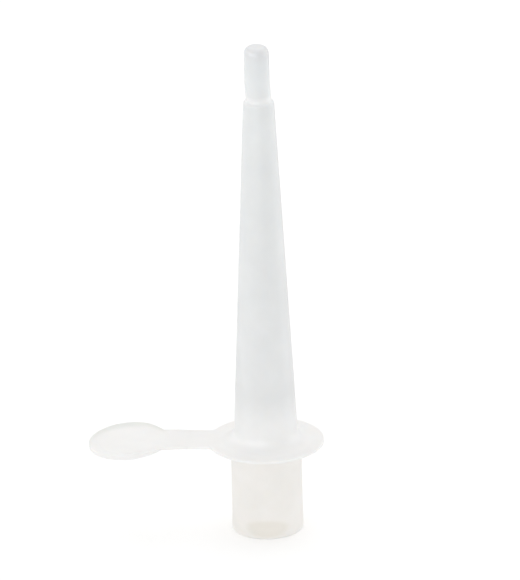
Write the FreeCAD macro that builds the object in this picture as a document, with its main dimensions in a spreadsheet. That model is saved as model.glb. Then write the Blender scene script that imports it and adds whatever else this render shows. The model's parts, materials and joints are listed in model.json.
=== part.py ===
import FreeCAD, Part
import os
import Sketcher

# Tapered, flanged nozzle tip moulded in one shot from natural polyethylene.
#
# Frame: the origin is the centre of the socket mouth, +Z runs up the barrel to the closed tip, and the
# strap with its pull tab leaves the flange towards -X. Lengths are in millimetres, angles in degrees.
#
# Driving dimensions: alias and value. The aliases are the words used in every expression below.
DIMENSIONS = {
    # socket: plain bore for an 11 mm suction stub, with a slightly thicker lip round its mouth
    "bore_radius": 5.5,
    "socket_wall": 0.82,
    "socket_draft": 0.03,
    "socket_length": 16.3,
    "lip_height": 1.9,
    "lip_swell": 0.04,
    "lip_rounding": 0.25,
    # flange, strap and tab are one sheet thickness
    "sheet_thickness": 0.52,
    "flange_radius": 10.35,
    "sheet_rounding": 0.12,
    # barrel: a straight taper from the flange to the shoulder
    "barrel_length": 65.2,
    "barrel_base_radius": 5.85,
    "barrel_top_radius": 2.76,
    "barrel_wall": 0.7,
    "root_radius": 1.5,
    "root_height": 1.8,
    "root_land": 0.08,
    # shoulder and closed tip
    "shoulder_height": 1.4,
    "shoulder_rounding": 0.5,
    "tip_base_radius": 2.26,
    "tip_end_radius": 2.22,
    "tip_length": 10.4,
    "tip_wall": 0.75,
    "cap_thickness": 1.3,
    "cap_rounding": 0.95,
    # strap arm: length from the flange edge to the tab edge, with a bending web at each end; the tab
    # droops about its hinge line and is twisted a little, its -Y side lower
    "arm_length": 7.05,
    "arm_width": 7.8,
    "web_length": 1.0,
    "tab_radius": 7.15,
    "tab_droop": 4.3,
    "tab_twist": 1.8,
    "rim_width": 1.25,
    "rim_height": 0.45,
    "rim_rounding": 0.08,
}

doc = FreeCAD.newDocument("flanged_tip")
sheet = doc.addObject("Spreadsheet::Sheet", "dims")


def fill_sheet():
    """Write one row per driving dimension: its alias, then its value."""
    for row, (alias, number) in enumerate(DIMENSIONS.items(), start=1):
        sheet.set(f"A{row}", alias)
        sheet.set(f"B{row}", str(number))
        sheet.setAlias(f"B{row}", alias)
    doc.recompute()


def measure(expression):
    """The present value of an expression in the sheet's aliases."""
    return float(sheet.evalExpression(expression))


# Levels along the axis, as expressions.
LIP_TOP = "dims.lip_height"
FLANGE_UNDER = "dims.socket_length"
FLANGE_TOP = f"({FLANGE_UNDER} + dims.sheet_thickness)"
SHEET_MIDDLE = f"({FLANGE_UNDER} + dims.sheet_thickness / 2)"
ROOT_TOP = f"({FLANGE_TOP} + dims.root_height)"
BARREL_TOP = f"({FLANGE_TOP} + dims.barrel_length)"
SHOULDER_UNDER = f"({BARREL_TOP} - dims.shoulder_height)"
TIP_TOP = f"({BARREL_TOP} + dims.tip_length)"
CAP_UNDER = f"({TIP_TOP} - dims.cap_thickness)"

# Stations along the strap arm, measured from the axis of the tip.
STRAP_START = "(dims.flange_radius + dims.web_length)"
STRAP_END = "(dims.flange_radius + dims.arm_length - dims.web_length)"
TAB_HINGE = "(dims.flange_radius + dims.arm_length - dims.web_length / 2)"
TAB_CENTRE = "(dims.web_length / 2 + dims.tab_radius)"


def barrel_radius(level):
    """Outside radius of the barrel's straight taper at a level."""
    taper = "(dims.barrel_base_radius - dims.barrel_top_radius) / dims.barrel_length"
    return f"(dims.barrel_base_radius - {taper} * ({level} - {FLANGE_TOP}))"


def cavity_radius(level):
    """Inside radius of the barrel at a level."""
    return f"({barrel_radius(level)} - dims.barrel_wall)"


def tip_radius(level):
    """Outside radius of the tip tube at a level."""
    taper = "(dims.tip_base_radius - dims.tip_end_radius) / dims.tip_length"
    return f"(dims.tip_base_radius - {taper} * ({level} - {BARREL_TOP}))"


def socket_radius(level):
    """Outside radius of the socket, which opens slightly towards its mouth."""
    return f"(dims.bore_radius + dims.socket_wall - dims.socket_draft * {level} / {FLANGE_UNDER})"


def closed_sketch(body, name, plane_role, corners):
    """A closed polygon on one of the body's own origin planes, each corner tied to a pair of expressions."""
    sketch = body.newObject("Sketcher::SketchObject", name)
    plane = next(feature for feature in body.Origin.OriginFeatures if feature.Role == plane_role)
    sketch.AttachmentSupport = [(plane, "")]
    sketch.MapMode = "FlatFace"
    points = [FreeCAD.Vector(measure(across), measure(along), 0) for across, along in corners]
    for index, point in enumerate(points):
        following = points[(index + 1) % len(points)]
        sketch.addGeometry(Part.LineSegment(point, following), False)
    for index, corner in enumerate(corners):
        previous = index - 1 if index else len(corners) - 1
        sketch.addConstraint(Sketcher.Constraint("Coincident", previous, 2, index, 1))
        for kind, axis, expression in zip(("DistanceX", "DistanceY"), (-2, -1), corner):
            if expression == "0":
                sketch.addConstraint(Sketcher.Constraint("PointOnObject", index, 1, axis))
                continue
            size = Sketcher.Constraint(kind, -1, 1, index, 1, measure(expression))
            sketch.setExpression(f"Constraints[{sketch.addConstraint(size)}]", expression)
    return sketch


def round_edges(body, feature, name, radius, chosen):
    """A fillet on the feature's edges for which chosen(edge) is true."""
    doc.recompute()
    edges = [f"Edge{n}" for n, edge in enumerate(feature.Shape.Edges, start=1) if chosen(edge)]
    fillet = body.newObject("PartDesign::Fillet", name)
    fillet.Base = (feature, edges)
    fillet.setExpression("Radius", radius)
    return fillet


def ring_edge(radius, level):
    """A test for the circular edge of a given radius at a given level."""

    def chosen(edge):
        is_circle = isinstance(edge.Curve, Part.Circle)
        if not is_circle:
            return False
        same_radius = abs(edge.Curve.Radius - measure(radius)) < 1e-4
        return same_radius and abs(edge.Curve.Center.z - measure(level)) < 1e-4

    return chosen


def turned(label, corners, roundings=()):
    """A body revolved about +Z from (radius, level) corners; roundings are (size, radius, level) of edges."""
    body = doc.addObject("PartDesign::Body", label)
    body.Label = label
    sketch = closed_sketch(body, f"{label}_profile", "XZ_Plane", corners)
    feature = body.newObject("PartDesign::Revolution", f"{label}_turn")
    feature.Profile = sketch
    feature.ReferenceAxis = (sketch, ["V_Axis"])
    feature.Angle = 360
    for number, (size, radius, level) in enumerate(roundings, start=1):
        feature = round_edges(body, feature, f"{label}_rounding{number}", size, ring_edge(radius, level))
    return body


def socket_parts():
    """The lip and sleeve of the socket, both with the same plain bore."""
    lip_radius = f"({socket_radius('0')} + dims.lip_swell)"
    lip = turned(
        "socket_lip",
        [("dims.bore_radius", "0"), (lip_radius, "0"), (lip_radius, LIP_TOP), ("dims.bore_radius", LIP_TOP)],
        [("dims.lip_rounding", lip_radius, "0"), ("dims.lip_swell * 0.9", lip_radius, LIP_TOP)],
    )
    sleeve = turned(
        "socket_sleeve",
        [
            ("dims.bore_radius", LIP_TOP),
            (socket_radius(LIP_TOP), LIP_TOP),
            (socket_radius(FLANGE_UNDER), FLANGE_UNDER),
            ("dims.bore_radius", FLANGE_UNDER),
        ],
    )
    return [lip, sleeve]


def flange_part():
    """The round flange; its inner margin is the stop ledge at the top of the socket bore."""
    inner = cavity_radius(FLANGE_TOP)
    rim = "dims.flange_radius"
    flange = turned(
        "flange_disc",
        [(inner, FLANGE_UNDER), (rim, FLANGE_UNDER), (rim, FLANGE_TOP), (inner, FLANGE_TOP)],
        [("dims.sheet_rounding", rim, FLANGE_TOP), ("dims.sheet_rounding", rim, FLANGE_UNDER)],
    )
    return [flange]


def barrel_parts():
    """The flared root on the flange and the straight-tapered barrel above it."""
    land_top = f"({FLANGE_TOP} + dims.root_land)"
    land_rim = f"({barrel_radius(land_top)} + dims.root_radius + dims.root_land)"
    root = turned(
        "barrel_root",
        [
            (cavity_radius(FLANGE_TOP), FLANGE_TOP),
            (land_rim, FLANGE_TOP),
            (land_rim, land_top),
            (barrel_radius(land_top), land_top),
            (barrel_radius(ROOT_TOP), ROOT_TOP),
            (cavity_radius(ROOT_TOP), ROOT_TOP),
        ],
        [("dims.root_radius", barrel_radius(land_top), land_top)],
    )
    barrel = turned(
        "barrel",
        [
            (cavity_radius(ROOT_TOP), ROOT_TOP),
            (barrel_radius(ROOT_TOP), ROOT_TOP),
            (barrel_radius(SHOULDER_UNDER), SHOULDER_UNDER),
            (cavity_radius(SHOULDER_UNDER), SHOULDER_UNDER),
        ],
    )
    return [root, barrel]


def tip_parts():
    """The rounded shoulder, the small tip tube on it and the closed domed end."""
    tip_inner = "(dims.tip_base_radius - dims.tip_wall)"
    shoulder = turned(
        "shoulder_ring",
        [
            (cavity_radius(SHOULDER_UNDER), SHOULDER_UNDER),
            (barrel_radius(SHOULDER_UNDER), SHOULDER_UNDER),
            ("dims.barrel_top_radius", BARREL_TOP),
            (tip_inner, BARREL_TOP),
        ],
        [("dims.shoulder_rounding", "dims.barrel_top_radius", BARREL_TOP)],
    )
    tube = turned(
        "tip_tube",
        [
            (tip_inner, BARREL_TOP),
            ("dims.tip_base_radius", BARREL_TOP),
            (tip_radius(CAP_UNDER), CAP_UNDER),
            (tip_inner, CAP_UNDER),
        ],
    )
    cap = turned(
        "tip_cap",
        [
            ("0", CAP_UNDER),
            (tip_radius(CAP_UNDER), CAP_UNDER),
            ("dims.tip_end_radius", TIP_TOP),
            ("0", TIP_TOP),
        ],
        [("dims.cap_rounding", "dims.tip_end_radius", TIP_TOP)],
    )
    return [shoulder, tube, cap]


def arm_placement(station, drop, tilt):
    """A place on the strap arm: the arm points to -X, and tilt lowers its far end."""
    arm_turn = FreeCAD.Rotation(FreeCAD.Vector(0, 0, 1), 180)
    droop_turn = FreeCAD.Rotation(FreeCAD.Vector(0, 1, 0), tilt)
    return FreeCAD.Placement(FreeCAD.Vector(-station, 0, drop), arm_turn * droop_turn)


def padded(label, plane_role, corners, depth, symmetric):
    """A body padded from a polygon sketch, to one side or equally to both sides of its plane."""
    body = doc.addObject("PartDesign::Body", label)
    body.Label = label
    pad = body.newObject("PartDesign::Pad", f"{label}_pad")
    pad.Profile = closed_sketch(body, f"{label}_outline", plane_role, corners)
    pad.SideType = "Symmetric" if symmetric else "One side"
    pad.setExpression("Length", depth)
    return body


def trimmed(label, blank, radius, height, placement):
    """The blank with a round disc's space cut out of it, so that it meets the disc's edge face to face."""
    disc = doc.addObject("Part::Cylinder", f"{label}_disc_space")
    disc.setExpression("Radius", radius)
    disc.setExpression("Height", height)
    disc.Placement = placement
    web = doc.addObject("Part::Cut", label)
    web.Label = label
    web.Base = blank
    web.Tool = disc
    return web


def flange_web_part():
    """The bending web between the flange's round edge and the strap."""
    web_start = "(dims.flange_radius * 0.85)"
    blank = doc.addObject("Part::Box", "flange_web_blank")
    blank.setExpression("Length", f"{STRAP_START} - {web_start}")
    blank.setExpression("Width", "dims.arm_width")
    blank.setExpression("Height", "dims.sheet_thickness")
    half_width = measure("dims.arm_width / 2")
    blank.Placement = FreeCAD.Placement(
        FreeCAD.Vector(-measure(STRAP_START), -half_width, measure(FLANGE_UNDER)), FreeCAD.Rotation()
    )
    disc_place = FreeCAD.Placement(FreeCAD.Vector(0, 0, measure(FLANGE_UNDER)), FreeCAD.Rotation())
    return trimmed("flange_web", blank, "dims.flange_radius", "dims.sheet_thickness", disc_place)


def strap_part():
    """The flat strap between the two webs, its long edges slightly rounded."""
    half = "(dims.arm_width / 2)"
    corners = [(STRAP_START, f"-{half}"), (STRAP_END, f"-{half}"), (STRAP_END, half), (STRAP_START, half)]
    strap = padded("strap", "XY_Plane", corners, "dims.sheet_thickness", False)

    def long_edge(edge):
        level_run = abs(edge.Vertexes[0].Point.z - edge.Vertexes[-1].Point.z) < 1e-6
        lengthwise = abs(edge.Vertexes[0].Point.x - edge.Vertexes[-1].Point.x) > 1
        return level_run and lengthwise

    doc.recompute()
    round_edges(strap, strap.Tip, "strap_rounding", "dims.sheet_rounding", long_edge)
    strap.Placement = arm_placement(0, measure(FLANGE_UNDER), 0)
    return strap


def tab_web_part():
    """The bending web between the strap and the tab, kinked by the tab's droop at the hinge line."""
    half = "(dims.sheet_thickness / 2)"
    mitre = f"({half} * tan(dims.tab_droop / 2))"
    reach = f"({TAB_HINGE} + dims.tab_radius * 0.4 * cos(dims.tab_droop))"
    fall = f"({SHEET_MIDDLE} - dims.tab_radius * 0.4 * sin(dims.tab_droop))"
    lean = f"({half} * sin(dims.tab_droop))"
    rise = f"({half} * cos(dims.tab_droop))"
    corners = [
        (STRAP_END, FLANGE_UNDER),
        (f"{TAB_HINGE} - {mitre}", FLANGE_UNDER),
        (f"{reach} - {lean}", f"{fall} - {rise}"),
        (f"{reach} + {lean}", f"{fall} + {rise}"),
        (f"{TAB_HINGE} + {mitre}", FLANGE_TOP),
        (STRAP_END, FLANGE_TOP),
    ]
    blank = padded("tab_web_blank", "XZ_Plane", corners, "dims.arm_width", True)
    blank.Placement = arm_placement(0, 0, 0)
    depth = measure("dims.sheet_thickness * 2")
    disc_place = tab_placement().multiply(FreeCAD.Placement(FreeCAD.Vector(0, 0, -depth), FreeCAD.Rotation()))
    return trimmed("tab_web", blank, "dims.tab_radius", "dims.sheet_thickness * 4", disc_place)


def tab_placement():
    """The centre of the tab at mid thickness, drooped about its hinge line and a little twisted."""
    hinge = arm_placement(measure(TAB_HINGE), measure(SHEET_MIDDLE), measure("dims.tab_droop"))
    twist = FreeCAD.Rotation(FreeCAD.Vector(1, 0, 0), -measure("dims.tab_twist"))
    return hinge.multiply(FreeCAD.Placement(FreeCAD.Vector(measure(TAB_CENTRE), 0, 0), twist))


def tab_parts():
    """The round pull tab and the low rim that stands on its upper face."""
    half = "(dims.sheet_thickness / 2)"
    edge = "dims.tab_radius"
    disc = turned(
        "tab_disc",
        [("0", f"-{half}"), (edge, f"-{half}"), (edge, half), ("0", half)],
        [("dims.sheet_rounding", edge, f"-{half}")],
    )
    inner = f"({edge} - dims.rim_width)"
    rim_top = f"({half} + dims.rim_height)"
    rim = turned(
        "tab_rim",
        [(inner, half), (edge, half), (edge, rim_top), (inner, rim_top)],
        [("dims.rim_rounding", edge, rim_top), ("dims.rim_rounding", inner, rim_top)],
    )
    for piece in (disc, rim):
        piece.Placement = tab_placement()
    return [disc, rim]


def check(parts):
    """Stop on any failed object, and on any sub-part that is not one or more valid closed solids."""
    for item in doc.Objects:
        if "Invalid" in item.State or "Error" in item.State:
            raise RuntimeError(f"{item.Label} failed to build: {item.State}")
    for item in parts:
        shape = item.Shape
        if shape.isNull() or not shape.isValid() or not shape.Solids:
            raise RuntimeError(f"{item.Label} is not a valid solid")


def write(parts):
    """Write one STEP file for each sub-part, named by its label, and print its volume."""
    os.makedirs("parts", exist_ok=True)
    for item in parts:
        item.Shape.exportStep(f"parts/{item.Label}.step")
        print(f"{item.Label}: {item.Shape.Volume:.2f} cubic mm")


fill_sheet()
sub_parts = socket_parts() + flange_part() + barrel_parts() + tip_parts()
sub_parts += [flange_web_part(), strap_part(), tab_web_part()] + tab_parts()
doc.recompute()
check(sub_parts)
write(sub_parts)
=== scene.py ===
import json
import math

import bmesh
import bpy
from mathutils import Matrix, Vector


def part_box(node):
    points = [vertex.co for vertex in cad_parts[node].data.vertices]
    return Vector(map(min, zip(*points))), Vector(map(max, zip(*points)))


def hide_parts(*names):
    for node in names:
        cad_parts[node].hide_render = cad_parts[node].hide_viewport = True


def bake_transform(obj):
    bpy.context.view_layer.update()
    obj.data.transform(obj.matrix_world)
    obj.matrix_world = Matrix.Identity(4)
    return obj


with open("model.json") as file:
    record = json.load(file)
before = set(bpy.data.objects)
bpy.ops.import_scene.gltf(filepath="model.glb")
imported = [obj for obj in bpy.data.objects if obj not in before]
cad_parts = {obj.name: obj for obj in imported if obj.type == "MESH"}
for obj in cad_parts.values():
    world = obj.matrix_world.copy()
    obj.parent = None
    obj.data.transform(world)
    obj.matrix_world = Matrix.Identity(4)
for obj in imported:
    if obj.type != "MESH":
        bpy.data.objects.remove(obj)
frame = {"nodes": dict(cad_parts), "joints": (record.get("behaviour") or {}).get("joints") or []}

# A flanged, tapered nozzle tip with a pull tab on a strap, moulded in natural polyethylene. It stands on
# its socket on a pale floor. Two skins stand for the moulding's CAD solids.
# Lengths are in metres. Levels and radii are read from the frame's nodes; MM is one millimetre.

MM = 0.001
X_AXIS, Y_AXIS, Z_AXIS = (Vector(axis) for axis in ((1, 0, 0), (0, 1, 0), (0, 0, 1)))
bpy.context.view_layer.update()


# ---------------------------------------------------------------- sizes read from the frame

def bottom(node):
    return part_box(node)[0].z


def top(node):
    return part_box(node)[1].z


def ring_radii(node, level):
    """Inner and outer radius of a turned node's vertices at a level, about the Z axis."""
    reach = 1e-6
    points = [v.co for v in frame["nodes"][node].data.vertices if abs(v.co.z - level) < reach]
    radii = [point.xy.length for point in points]
    return min(radii), max(radii)


FLANGE_UNDER, FLANGE_TOP = bottom("flange_disc"), top("flange_disc")
LIP_TOP = top("socket_lip")
ROOT_TOP = top("barrel_root")
SHOULDER_UNDER, BARREL_TOP = bottom("shoulder_ring"), top("shoulder_ring")
CAP_UNDER, TIP_TOP = bottom("tip_cap"), top("tip_cap")
BORE_RADIUS, SOCKET_FOOT_RADIUS = ring_radii("socket_sleeve", LIP_TOP)
SOCKET_HEAD_RADIUS = ring_radii("socket_sleeve", FLANGE_UNDER)[1]
LIP_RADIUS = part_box("socket_lip")[1].x
FLANGE_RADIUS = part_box("flange_disc")[1].x
CAVITY_RADIUS, BARREL_FOOT_RADIUS = ring_radii("barrel", ROOT_TOP)
CAVITY_HEAD_RADIUS, BARREL_HEAD_RADIUS = ring_radii("barrel", SHOULDER_UNDER)
SHOULDER_RADIUS = BARREL_HEAD_RADIUS + (BARREL_HEAD_RADIUS - BARREL_FOOT_RADIUS) * (
    (BARREL_TOP - SHOULDER_UNDER) / (SHOULDER_UNDER - ROOT_TOP)
)
TIP_INNER_RADIUS, TIP_FOOT_RADIUS = ring_radii("tip_tube", BARREL_TOP)
TIP_END_RADIUS = ring_radii("tip_tube", CAP_UNDER)[1]

THICKNESS = FLANGE_TOP - FLANGE_UNDER
SHEET_MIDDLE = (FLANGE_TOP + FLANGE_UNDER) / 2
STRAP_HALF_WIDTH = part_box("strap")[1].y
JOINTS = {joint["name"]: joint for joint in frame["joints"]}
STRAP_HINGE = Vector(JOINTS["strap_bend"]["pos_m"])
TAB_HINGE = Vector(JOINTS["tab_bend"]["pos_m"])
MID_STRAP = (STRAP_HINGE.x + TAB_HINGE.x) / 2
TAB_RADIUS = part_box("tab_disc")[1].y


def tab_frame():
    """The middle of the tab's sheet and the normal of its upper face, read from its node."""
    faces_up = 0.9
    low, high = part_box("tab_disc")
    upward = Vector()
    for face in frame["nodes"]["tab_disc"].data.polygons:
        if face.normal.z > faces_up:
            upward += face.normal * face.area
    return (low + high) / 2, upward.normalized()


TAB_CENTRE, TAB_UP = tab_frame()
TAB_OUTWARD = (TAB_CENTRE - TAB_HINGE).normalized()
TAB_ACROSS = TAB_UP.cross(TAB_OUTWARD).normalized()
TAB_REACH = (TAB_CENTRE - TAB_HINGE).length


def rim_size():
    """The rim's inner radius, and the height of its top above the middle of the tab's sheet."""
    points = [vertex.co - TAB_CENTRE for vertex in frame["nodes"]["tab_rim"].data.vertices]
    heights = [point.dot(TAB_UP) for point in points]
    radii = [(point - TAB_UP * height).length for point, height in zip(points, heights)]
    return min(radii), max(heights)


RIM_INNER_RADIUS, RIM_HEIGHT = rim_size()


# ---------------------------------------------------------------- mesh tools

AROUND = 192
SAME_POINT = 1e-7


def rounded(corners, steps):
    """A closed outline through (radius, level, rounding) corners, each turned into an arc."""
    outline = []
    count = len(corners)
    for index, (radius, level, rounding) in enumerate(corners):
        here = Vector((radius, level))
        if rounding == 0:
            outline.append(here)
            continue
        before = (Vector(corners[index - 1][:2]) - here).normalized()
        after = (Vector(corners[(index + 1) % count][:2]) - here).normalized()
        half_angle = before.angle(after) / 2
        along = rounding / math.tan(half_angle)
        centre = here + (before + after).normalized() * rounding / math.sin(half_angle)
        start = here + before * along - centre
        sweep = start.angle_signed(here + after * along - centre)
        for step in range(steps + 1):
            turn = Matrix.Rotation(-sweep * step / steps, 2)
            outline.append(centre + turn @ start)
    return outline


def divided(outline, longest):
    """The outline with every run longer than a length cut into equal shorter ones."""
    points = []
    for index, point in enumerate(outline):
        following = outline[(index + 1) % len(outline)]
        pieces = max(1, math.ceil((following - point).length / longest))
        points += [point.lerp(following, piece / pieces) for piece in range(pieces)]
    return points


def spaced(start, end, step):
    """Evenly spaced values from start to end, about a step apart."""
    pieces = max(1, round(abs(end - start) / step))
    return [start + (end - start) * k / pieces for k in range(pieces + 1)]


def eased(share):
    """A smooth step from 0 to 1."""
    share = min(max(share, 0), 1)
    return share * share * (3 - 2 * share)


def new_object(name, mesh_builder):
    """An object whose mesh a function fills in; doubled points are joined and faces turned outwards."""
    mesh = bpy.data.meshes.new(name)
    made = bmesh.new()
    mesh_builder(made)
    bmesh.ops.remove_doubles(made, verts=made.verts, dist=SAME_POINT)
    bmesh.ops.recalc_face_normals(made, faces=made.faces)
    made.to_mesh(mesh)
    made.free()
    obj = bpy.data.objects.new(name, mesh)
    bpy.context.scene.collection.objects.link(obj)
    return obj


def turned(name, outline):
    """A body of revolution about Z from a closed outline of (radius, level) points."""

    def build(made):
        angles = [2 * math.pi * k / AROUND for k in range(AROUND)]
        rings = []
        for radius, level in outline:
            if radius < SAME_POINT:
                rings.append([made.verts.new((0, 0, level))] * AROUND)
                continue
            ring = [(radius * math.cos(angle), radius * math.sin(angle), level) for angle in angles]
            rings.append([made.verts.new(point) for point in ring])
        for lower, upper in zip(rings, rings[1:] + rings[:1]):
            for k in range(AROUND):
                following = (k + 1) % AROUND
                corners = [lower[k], lower[following], upper[following], upper[k]]
                distinct = list(dict.fromkeys(corners))
                if len(distinct) > 2:
                    made.faces.new(distinct)

    return new_object(name, build)


def lofted(name, sections):
    """A closed bar through equal-length loops of points, capped at both ends."""

    def build(made):
        loops = [[made.verts.new(point) for point in section] for section in sections]
        for near, far in zip(loops, loops[1:]):
            for k in range(len(near)):
                following = (k + 1) % len(near)
                made.faces.new((near[k], near[following], far[following], far[k]))
        made.faces.new(loops[0])
        made.faces.new(loops[-1])

    return new_object(name, build)


def apply_modifiers(obj):
    """Replaces the object's mesh by what its modifiers make of it."""
    bpy.context.view_layer.update()
    evaluated = obj.evaluated_get(bpy.context.evaluated_depsgraph_get())
    result = bpy.data.meshes.new_from_object(evaluated)
    obj.modifiers.clear()
    obj.data = result


def merge(obj, other):
    """Joins another closed solid into the object as one skin."""
    union = obj.modifiers.new("union", "BOOLEAN")
    union.operation = "UNION"
    union.solver = "EXACT"
    union.object = other
    apply_modifiers(obj)
    bpy.data.objects.remove(other)


def smooth(obj):
    """Smooth shading, with sharp edges kept crisp."""
    sharp_angle = math.radians(38)
    obj.data.shade_smooth()
    obj.data.set_sharp_from_angle(angle=sharp_angle)


# ---------------------------------------------------------------- the strap

# The strap lies SINK inside the faces of the flange and the tab, so that no faces of a union are in line.
SHEET_ROUNDING = 0.13 * MM
CORNER_FILLET = 0.6 * MM
STATION_STEP = 0.12 * MM
SINK = 0.002 * MM


def fillet_half_width(distance, disc_radius):
    """The strap's half width at a distance from a disc's centre, widened by a fillet at the disc."""
    centre_across = STRAP_HALF_WIDTH + CORNER_FILLET
    span = disc_radius + CORNER_FILLET
    centre_along = math.sqrt(span**2 - centre_across**2)
    touch_along = centre_along * disc_radius / span
    along = min(max(distance, touch_along), centre_along)
    return centre_across - math.sqrt(CORNER_FILLET**2 - (centre_along - along) ** 2)


def strap_section(origin, across, upward, half_width):
    """A rounded rectangle across the strap: origin is its middle, across and upward its two directions."""
    arc_steps = 4
    half = THICKNESS / 2 - SINK
    corners = [
        (half_width, -half, SHEET_ROUNDING),
        (half_width, half, SHEET_ROUNDING),
        (-half_width, half, SHEET_ROUNDING),
        (-half_width, -half, SHEET_ROUNDING),
    ]
    return [origin + across * side + upward * height for side, height in rounded(corners, arc_steps)]


# ---------------------------------------------------------------- the nozzle

def nozzle_outline():
    """The moulding's section from the socket mouth, up the outside, and back down the hollow."""
    arc_steps, longest_run = 8, 3 * MM
    mouth_inner, mouth_outer = 0.12 * MM, 0.3 * MM
    lip_half_slope, lip_crest, lip_foot = 0.35 * MM, 0.8 * MM, 1.2 * MM
    socket_head = 0.25 * MM
    root_fillet = 2.4 * MM
    shoulder_below, shoulder_above, shoulder_rounding = 0.3 * MM, 0.25 * MM, 0.6 * MM
    dome_rise, dome_rounding = 0.1 * MM, 1.3 * MM
    passage_end = 0.3 * MM
    cavity_corner, cavity_foot, bore_end = 0.1 * MM, 0.05 * MM, 0.08 * MM
    corners = [
        (BORE_RADIUS, 0, mouth_inner),
        (LIP_RADIUS, 0, mouth_outer),
        (LIP_RADIUS, LIP_TOP - lip_half_slope, lip_crest),
        (SOCKET_FOOT_RADIUS, LIP_TOP + lip_half_slope, lip_foot),
        (SOCKET_HEAD_RADIUS, FLANGE_UNDER, socket_head),
        (FLANGE_RADIUS, FLANGE_UNDER, SHEET_ROUNDING),
        (FLANGE_RADIUS, FLANGE_TOP, SHEET_ROUNDING),
        (BARREL_FOOT_RADIUS, FLANGE_TOP, root_fillet),
        (SHOULDER_RADIUS, BARREL_TOP - shoulder_below, shoulder_rounding),
        (TIP_FOOT_RADIUS, BARREL_TOP + shoulder_above, shoulder_rounding),
        (TIP_END_RADIUS, TIP_TOP - dome_rise, dome_rounding),
        (0, TIP_TOP, 0),
        (0, CAP_UNDER, 0),
        (TIP_INNER_RADIUS, CAP_UNDER, passage_end),
        (TIP_INNER_RADIUS, BARREL_TOP, cavity_corner),
        (CAVITY_HEAD_RADIUS, SHOULDER_UNDER, cavity_corner),
        (CAVITY_RADIUS, FLANGE_TOP, cavity_corner),
        (CAVITY_RADIUS, FLANGE_UNDER, cavity_foot),
        (BORE_RADIUS, FLANGE_UNDER, bore_end),
    ]
    return divided(rounded(corners, arc_steps), longest_run)


def offset_tip(nozzle):
    """Moves the narrow tip a little off the barrel's axis, towards the strap's side."""
    offset, extra_at_end = 0.17 * MM, 0.3
    eased_share = 0.25
    for vertex in nozzle.data.vertices:
        rise = (vertex.co.z - BARREL_TOP) / (TIP_TOP - BARREL_TOP)
        vertex.co.x -= offset * eased(rise / eased_share) * (1 + rise * extra_at_end)


def make_nozzle():
    """Socket, flange, barrel and tip as one skin, with the strap's first half growing out of the flange."""
    sunk_share = 0.86
    strap_start = FLANGE_RADIUS * sunk_share
    nozzle = turned("nozzle_moulding", nozzle_outline())
    offset_tip(nozzle)
    sections = [
        strap_section(Vector((-at, 0, SHEET_MIDDLE)), -Y_AXIS, Z_AXIS, fillet_half_width(at, FLANGE_RADIUS))
        for at in spaced(strap_start, abs(MID_STRAP), STATION_STEP)
    ]
    merge(nozzle, lofted("strap_inner_half", sections))
    smooth(nozzle)
    return nozzle


# ---------------------------------------------------------------- the pull tab

def arm_point(distance):
    """The strap's middle line a distance past the tab hinge, easing from level into the tab's slope."""
    bend = 1.6 * MM
    if distance >= bend:
        return TAB_HINGE + TAB_OUTWARD * distance
    if distance <= -bend:
        return TAB_HINGE - X_AXIS * distance
    near, far = TAB_HINGE + X_AXIS * bend, TAB_HINGE + TAB_OUTWARD * bend
    share = (distance + bend) / (2 * bend)
    return near.lerp(TAB_HINGE, share).lerp(TAB_HINGE.lerp(far, share), share)


def tab_outline():
    """The tab's section: a shallow saucer, whose upper face sweeps up to a low rounded rim."""
    arc_steps, sweep_steps, longest_run = 6, 14, 1.2 * MM
    crest_inset, crest_rounding, sweep_past_rim = 0.35 * MM, 0.22 * MM, 1.0 * MM
    half = THICKNESS / 2
    corners = [
        (0, -half, 0),
        (TAB_RADIUS, -half, SHEET_ROUNDING),
        (TAB_RADIUS, RIM_HEIGHT, crest_rounding),
    ]
    outline = rounded(corners, arc_steps)
    crest = TAB_RADIUS - crest_inset
    sweep_width = crest - RIM_INNER_RADIUS + sweep_past_rim
    for share in spaced(0, 1, 1 / sweep_steps):
        drop = (RIM_HEIGHT - half) * eased(share)
        outline.append(Vector((crest - sweep_width * share, RIM_HEIGHT - drop)))
    outline.append(Vector((0, half)))
    return divided(outline, longest_run)


def open_rim(tab):
    """Lowers the rim to the disc where the strap arrives, so that the strap runs straight on to the tab."""
    half = THICKNESS / 2
    opening, closing = math.radians(34), math.radians(75)
    for vertex in tab.data.vertices:
        if vertex.co.z > half:
            off_strap = math.atan2(abs(vertex.co.y), -vertex.co.x)
            kept = eased((off_strap - opening) / (closing - opening))
            vertex.co.z = half + (vertex.co.z - half) * kept


def make_tab():
    """The strap's second half and the round tab as one skin."""
    tab = turned("tab_moulding", tab_outline())
    open_rim(tab)
    axes = Matrix((TAB_OUTWARD, TAB_ACROSS, TAB_UP)).transposed().to_4x4()
    tab.data.transform(Matrix.Translation(TAB_CENTRE) @ axes)
    sunk_share, nudge = 0.74, 0.002 * MM
    start = TAB_HINGE.x - MID_STRAP
    end = TAB_REACH - TAB_RADIUS * sunk_share
    sections = []
    for distance in spaced(start, end, STATION_STEP):
        share = eased((distance - start) / (TAB_REACH - TAB_RADIUS - start))
        across = (-Y_AXIS).lerp(TAB_ACROSS, share).normalized()
        ahead = (arm_point(distance + nudge) - arm_point(distance - nudge)).normalized()
        half_width = fillet_half_width(TAB_REACH - distance, TAB_RADIUS)
        sections.append(strap_section(arm_point(distance), across, ahead.cross(across), half_width))
    merge(tab, lofted("strap_outer_half", sections))
    smooth(tab)
    return tab


# ---------------------------------------------------------------- node helpers

def set_inputs(node, **values):
    """Sets a node's sockets; an underscore in a name stands for a space."""
    for name, value in values.items():
        node.inputs[name.replace("_", " ")].default_value = value


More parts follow.
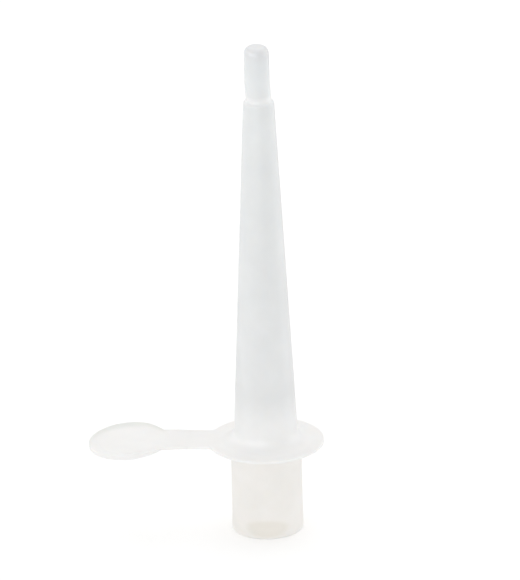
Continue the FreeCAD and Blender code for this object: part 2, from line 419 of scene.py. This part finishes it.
def map_range(tree, value, start, end, to_start=0, to_end=1, interpolation="LINEAR"):
    """A value mapped from one span to another, and held at the ends."""
    node = tree.nodes.new("ShaderNodeMapRange")
    node.interpolation_type = interpolation
    set_inputs(node, From_Min=start, From_Max=end, To_Min=to_start, To_Max=to_end)
    tree.links.new(value, node.inputs["Value"])
    return node.outputs["Result"]


def vector_math(tree, operation, vector, other):
    """A vector combined with a fixed one."""
    node = tree.nodes.new("ShaderNodeVectorMath")
    node.operation = operation
    node.inputs[1].default_value = other
    tree.links.new(vector, node.inputs[0])
    return node.outputs["Vector"]


def length(tree, vector):
    """A vector's length."""
    node = tree.nodes.new("ShaderNodeVectorMath")
    node.operation = "LENGTH"
    tree.links.new(vector, node.inputs[0])
    return node.outputs["Value"]


def value_math(tree, operation, first, second):
    """Two values combined."""
    node = tree.nodes.new("ShaderNodeMath")
    node.operation = operation
    tree.links.new(first, node.inputs[0])
    tree.links.new(second, node.inputs[1])
    return node.outputs["Value"]


def tinted(tree, tone, share, tint):
    """A tone turned into a fixed tint by a share."""
    node = tree.nodes.new("ShaderNodeMix")
    node.data_type = "RGBA"
    node.inputs["B"].default_value = tint
    tree.links.new(share, node.inputs["Factor"])
    tree.links.new(tone, node.inputs["A"])
    return node.outputs["Result"]


def noise(tree, place, scale, detail):
    """A soft random value through space."""
    node = tree.nodes.new("ShaderNodeTexNoise")
    set_inputs(node, Scale=scale, Detail=detail)
    tree.links.new(place, node.inputs["Vector"])
    return node.outputs["Fac"]


# ---------------------------------------------------------------- materials

# Painted light: the flange's outer part, the strap and the tab in a lighter tone than the upright barrel.
SHEET_LIGHT_TONE = (0.98, 0.971, 0.952, 1)
# Painted shade: the socket's dark hollow seen through its front wall, in a warm olive tone.
HOLLOW_SHADE_TONE = (0.91, 0.875, 0.815, 1)
# Painted shade: a darker crescent on the far side of the tab's rim.
FAR_RIM_SHADE_TONE = (0.86, 0.865, 0.835, 1)


def light_and_shade_by_height(tree, height):
    """Painted light and shade up the moulding, as lit and shaded tones of one plastic: warm at the socket,
    light at the flange, cool up the barrel and the tip.
    """
    tones = [
        # Painted highlight along the socket's mouth, then the socket painted light and warm.
        (0, (0.99, 0.975, 0.94, 1)),
        (0.4 * MM, (0.975, 0.94, 0.895, 1)),
        # Painted shade just under the flange.
        (FLANGE_UNDER * 0.9, (0.945, 0.92, 0.885, 1)),
        # The flange and the barrel's root painted light, over the shade in the root's crease.
        (FLANGE_UNDER, SHEET_LIGHT_TONE),
        (FLANGE_TOP, (0.995, 0.99, 0.975, 1)),
        (FLANGE_TOP + 1.6 * MM, (0.985, 0.985, 0.975, 1)),
        # The barrel painted darker and cool, as an upright wall in less light.
        (FLANGE_TOP + 10 * MM, (0.83, 0.84, 0.84, 1)),
        (BARREL_TOP - 0.5 * MM, (0.83, 0.85, 0.85, 1)),
        # Painted highlight ring at the shoulder, over the shade in its crease.
        (BARREL_TOP + 0.2 * MM, (0.96, 0.97, 0.97, 1)),
        (BARREL_TOP + 0.7 * MM, (0.94, 0.95, 0.95, 1)),
        (BARREL_TOP + 1.4 * MM, (0.865, 0.88, 0.88, 1)),
        (TIP_TOP - 6 * MM, (0.85, 0.875, 0.88, 1)),
        (TIP_TOP - 3 * MM, (0.83, 0.855, 0.862, 1)),
        # Painted shade of the hollow under the tip's top, then a painted highlight on the top.
        (TIP_TOP - 0.9 * MM, (0.785, 0.795, 0.805, 1)),
        (TIP_TOP, (0.85, 0.86, 0.87, 1)),
    ]
    node = tree.nodes.new("ShaderNodeValToRGB")
    ramp = node.color_ramp
    while len(ramp.elements) < len(tones):
        ramp.elements.new(0.5)
    for element, (level, tone) in zip(ramp.elements, tones):
        element.position = level / TIP_TOP
        element.color = tone
    tree.links.new(map_range(tree, height, 0, TIP_TOP), node.inputs["Fac"])
    return node.outputs["Color"]


def lit_sheet_share(tree, level_place):
    """Where the flat sheet is painted light, for the light it catches that the barrel does not: 0 on the
    socket and the barrel, 1 on the flange's outer part, the strap and the tab.
    """
    start, end = SOCKET_HEAD_RADIUS + 1.6 * MM, SOCKET_HEAD_RADIUS + 3.0 * MM
    return map_range(tree, length(tree, level_place), start, end)


def hollow_shade_share(tree, place):
    """Painted shade of the dark hollow seen through the socket's front wall: 1 inside a soft-edged oval low
    on the front of the socket.
    """
    centre = (0.4 * MM, -SOCKET_FOOT_RADIUS, 2.0 * MM)
    half_sizes = (4.8 * MM, 4.8 * MM, 1.9 * MM)
    edge, full = 1.0, 0.6
    scaled = vector_math(tree, "DIVIDE", vector_math(tree, "SUBTRACT", place, centre), half_sizes)
    return map_range(tree, length(tree, scaled), edge, full, interpolation="SMOOTHSTEP")


def far_rim_shade_share(tree, level_place, along):
    """Painted shade on the tab rim's far slope: 1 on a soft crescent along the tab's rim, on the +Y side.
    """
    centre = (TAB_CENTRE.x + 0.3 * MM, -1.5 * MM, 0)
    edge, full = 6.6 * MM, 7.8 * MM
    tab_start, fade = TAB_CENTRE.x + TAB_RADIUS, 1.5 * MM
    distance = length(tree, vector_math(tree, "SUBTRACT", level_place, centre))
    crescent = map_range(tree, distance, edge, full, interpolation="SMOOTHSTEP")
    on_tab = map_range(tree, along, tab_start, tab_start - fade)
    return value_math(tree, "MULTIPLY", crescent, on_tab)


def clouded(tree, tone, cloud):
    """A tone made slightly lighter and darker by a cloud."""
    thin, dense = 0.3, 0.7
    darkest, lightest = 0.97, 1.02
    lightness = map_range(tree, cloud, thin, dense, darkest, lightest)
    node = tree.nodes.new("ShaderNodeVectorMath")
    node.operation = "SCALE"
    tree.links.new(tone, node.inputs[0])
    tree.links.new(lightness, node.inputs["Scale"])
    return node.outputs["Vector"]


def soft_gloss(tree, cloud, height):
    """The roughness: slightly uneven, and more matt from the barrel's root down than higher up."""
    glossiest, mattest = 0.275, 0.3
    fade_from, fade_to, added = FLANGE_TOP + 6 * MM, FLANGE_TOP + 1.5 * MM, 0.1
    uneven = map_range(tree, cloud, 0, 1, glossiest, mattest)
    more_matt = map_range(tree, height, fade_from, fade_to, 0, added)
    return value_math(tree, "ADD", uneven, more_matt)


def moulding_grain(tree, place):
    """The surface normal with a very fine grain."""
    bump = tree.nodes.new("ShaderNodeBump")
    set_inputs(bump, Strength=0.06, Distance=0.02 * MM)
    tree.links.new(noise(tree, place, scale=2600, detail=3), bump.inputs["Height"])
    return bump.outputs["Normal"]


def natural_polyethylene():
    """Milky, softly glossy moulded polyethylene: painted light and shade by place, faint cloudiness and a
    moulding grain.
    """
    material = bpy.data.materials.new("natural_polyethylene")
    material.use_nodes = True
    tree = material.node_tree
    shader = tree.nodes["Principled BSDF"]
    set_inputs(shader, IOR=1.51, Transmission_Weight=0.06)
    set_inputs(shader, Subsurface_Weight=0.35, Subsurface_Radius=(1.0, 0.9, 0.8), Subsurface_Scale=0.3 * MM)

    place = tree.nodes.new("ShaderNodeTexCoord").outputs["Object"]
    apart = tree.nodes.new("ShaderNodeSeparateXYZ")
    tree.links.new(place, apart.inputs["Vector"])
    along, height = apart.outputs["X"], apart.outputs["Z"]
    level_place = vector_math(tree, "MULTIPLY", place, (1, 1, 0))
    cloud = noise(tree, place, scale=160, detail=4)

    tone = tinted(tree, light_and_shade_by_height(tree, height), lit_sheet_share(tree, level_place), SHEET_LIGHT_TONE)
    tone = tinted(tree, tone, hollow_shade_share(tree, place), HOLLOW_SHADE_TONE)
    tone = tinted(tree, tone, far_rim_shade_share(tree, level_place, along), FAR_RIM_SHADE_TONE)
    tree.links.new(clouded(tree, tone, cloud), shader.inputs["Base Color"])
    tree.links.new(soft_gloss(tree, cloud, height), shader.inputs["Roughness"])
    tree.links.new(moulding_grain(tree, place), shader.inputs["Normal"])
    return material


def floor_white():
    """A matt white that reaches plain white under the lights."""
    material = bpy.data.materials.new("floor_white")
    material.use_nodes = True
    shader = material.node_tree.nodes["Principled BSDF"]
    set_inputs(shader, Base_Color=(0.97, 0.97, 0.97, 1), Roughness=0.9, Specular_IOR_Level=0.1)
    set_inputs(shader, Emission_Color=(1, 1, 1, 1), Emission_Strength=0.1)
    return material


# ---------------------------------------------------------------- studio

def make_floor():
    """A wide level sheet under the object."""

    def build(made):
        half = 3
        corners = [(-half, -half, 0), (half, -half, 0), (half, half, 0), (-half, half, 0)]
        made.faces.new([made.verts.new(corner) for corner in corners])

    floor = new_object("floor", build)
    floor.data.materials.append(floor_white())
    floor.visible_glossy = False


def area_light(name, place, across, upward, width, height, watts):
    """A rectangular softbox with its width and height along two directions, facing across x upward."""
    data = bpy.data.lights.new(name, "AREA")
    data.shape = "RECTANGLE"
    data.size, data.size_y = width, height
    data.energy = watts
    across = Vector(across).normalized()
    facing = across.cross(Vector(upward)).normalized()
    upward = facing.cross(across)
    light = bpy.data.objects.new(name, data)
    turn = Matrix((-across, upward, -facing)).transposed().to_4x4()
    light.matrix_world = Matrix.Translation(place) @ turn
    bpy.context.scene.collection.objects.link(light)
    return light


def reflected_softbox(name, right_foot, left_foot, watts_per_square_metre):
    """A softbox for gloss alone, on a line from its right foot to its left one as the object sees it."""
    height = 0.5
    right_foot, left_foot = Vector(right_foot), Vector(left_foot)
    along = left_foot - right_foot
    facing = along.cross(Z_AXIS).normalized()
    upward = facing.cross(along).normalized()
    middle = (right_foot + left_foot) / 2 + upward * height / 2
    watts = watts_per_square_metre * along.length * height
    light = area_light(name, middle, along, upward, along.length, height, watts)
    light.visible_diffuse = False


def make_world():
    """An even white surround, a little brighter where the camera sees it than where it lights."""
    lighting, seen = 0.89, 1.05
    world = bpy.data.worlds.new("studio")
    world.use_nodes = True
    tree = world.node_tree
    background = tree.nodes["Background"]
    set_inputs(background, Color=(1, 1, 1, 1))
    from_camera = tree.nodes.new("ShaderNodeLightPath").outputs["Is Camera Ray"]
    strength = map_range(tree, from_camera, 0, 1, lighting, seen)
    tree.links.new(strength, background.inputs["Strength"])
    bpy.context.scene.world = world


def make_lights():
    """One large softbox above and behind, and four that only show as light bands in the gloss."""
    size, watts = 1.0, 1.2
    place = Vector((0, 0.35, 0.85))
    facing = -place.normalized()
    area_light("top_softbox", place, X_AXIS, facing.cross(X_AXIS), size, size, watts)
    reflected = [
        ("front_left_softbox", (0.087, -0.448, -0.023), (-0.331, -0.248, -0.113), 8),
        ("left_softbox", (-0.331, -0.248, -0.13), (-0.45, -0.04, -0.14), 5),
        ("back_left_softbox", (-0.45, -0.04, -0.14), (-0.45, 0.5, -0.14), 2.9),
        ("right_softbox", (0.45, 0.5, -0.14), (0.45, -0.05, -0.14), 3.2),
    ]
    for name, right_foot, left_foot, watts_per_square_metre in reflected:
        reflected_softbox(name, right_foot, left_foot, watts_per_square_metre)


def make_camera():
    """A long lens from in front, a little above and to the right, rolled by about a degree."""
    elevation = math.radians(22.8)
    azimuth = math.radians(4.5)
    roll = math.radians(1.27)
    distance = 3.5
    frame_width = 92.4 * MM
    aim = Vector((-0.49 * MM, 0, 45.63 * MM))
    data = bpy.data.cameras.new("camera")
    data.sensor_width = 36
    data.sensor_fit = "HORIZONTAL"
    data.lens = data.sensor_width * distance / frame_width
    data.clip_start, data.clip_end = 0.05, 20
    camera = bpy.data.objects.new("camera", data)
    level = math.cos(elevation)
    outward = Vector((math.sin(azimuth) * level, -math.cos(azimuth) * level, math.sin(elevation)))
    facing = (-outward).to_track_quat("-Z", "Y").to_matrix().to_4x4()
    rolled = Matrix.Rotation(-roll, 4, "Z")
    camera.matrix_world = Matrix.Translation(aim + outward * distance) @ facing @ rolled
    bpy.context.scene.collection.objects.link(camera)
    bpy.context.scene.camera = camera


# ---------------------------------------------------------------- assembly

def assemble():
    """The two skins in place of the CAD solids, which are hidden."""
    plastic = natural_polyethylene()
    nozzle = make_nozzle()
    tab = make_tab()
    for piece in (nozzle, tab):
        piece.data.materials.clear()
        piece.data.materials.append(plastic)
    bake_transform(nozzle)
    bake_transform(tab)
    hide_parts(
        "socket_lip",
        "socket_sleeve",
        "flange_disc",
        "barrel_root",
        "barrel",
        "shoulder_ring",
        "tip_tube",
        "tip_cap",
        "flange_web",
        "strap",
    )
    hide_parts("tab_web", "tab_disc", "tab_rim")


bpy.context.scene.view_settings.view_transform = "Standard"
assemble()
make_floor()
make_world()
make_lights()
make_camera()
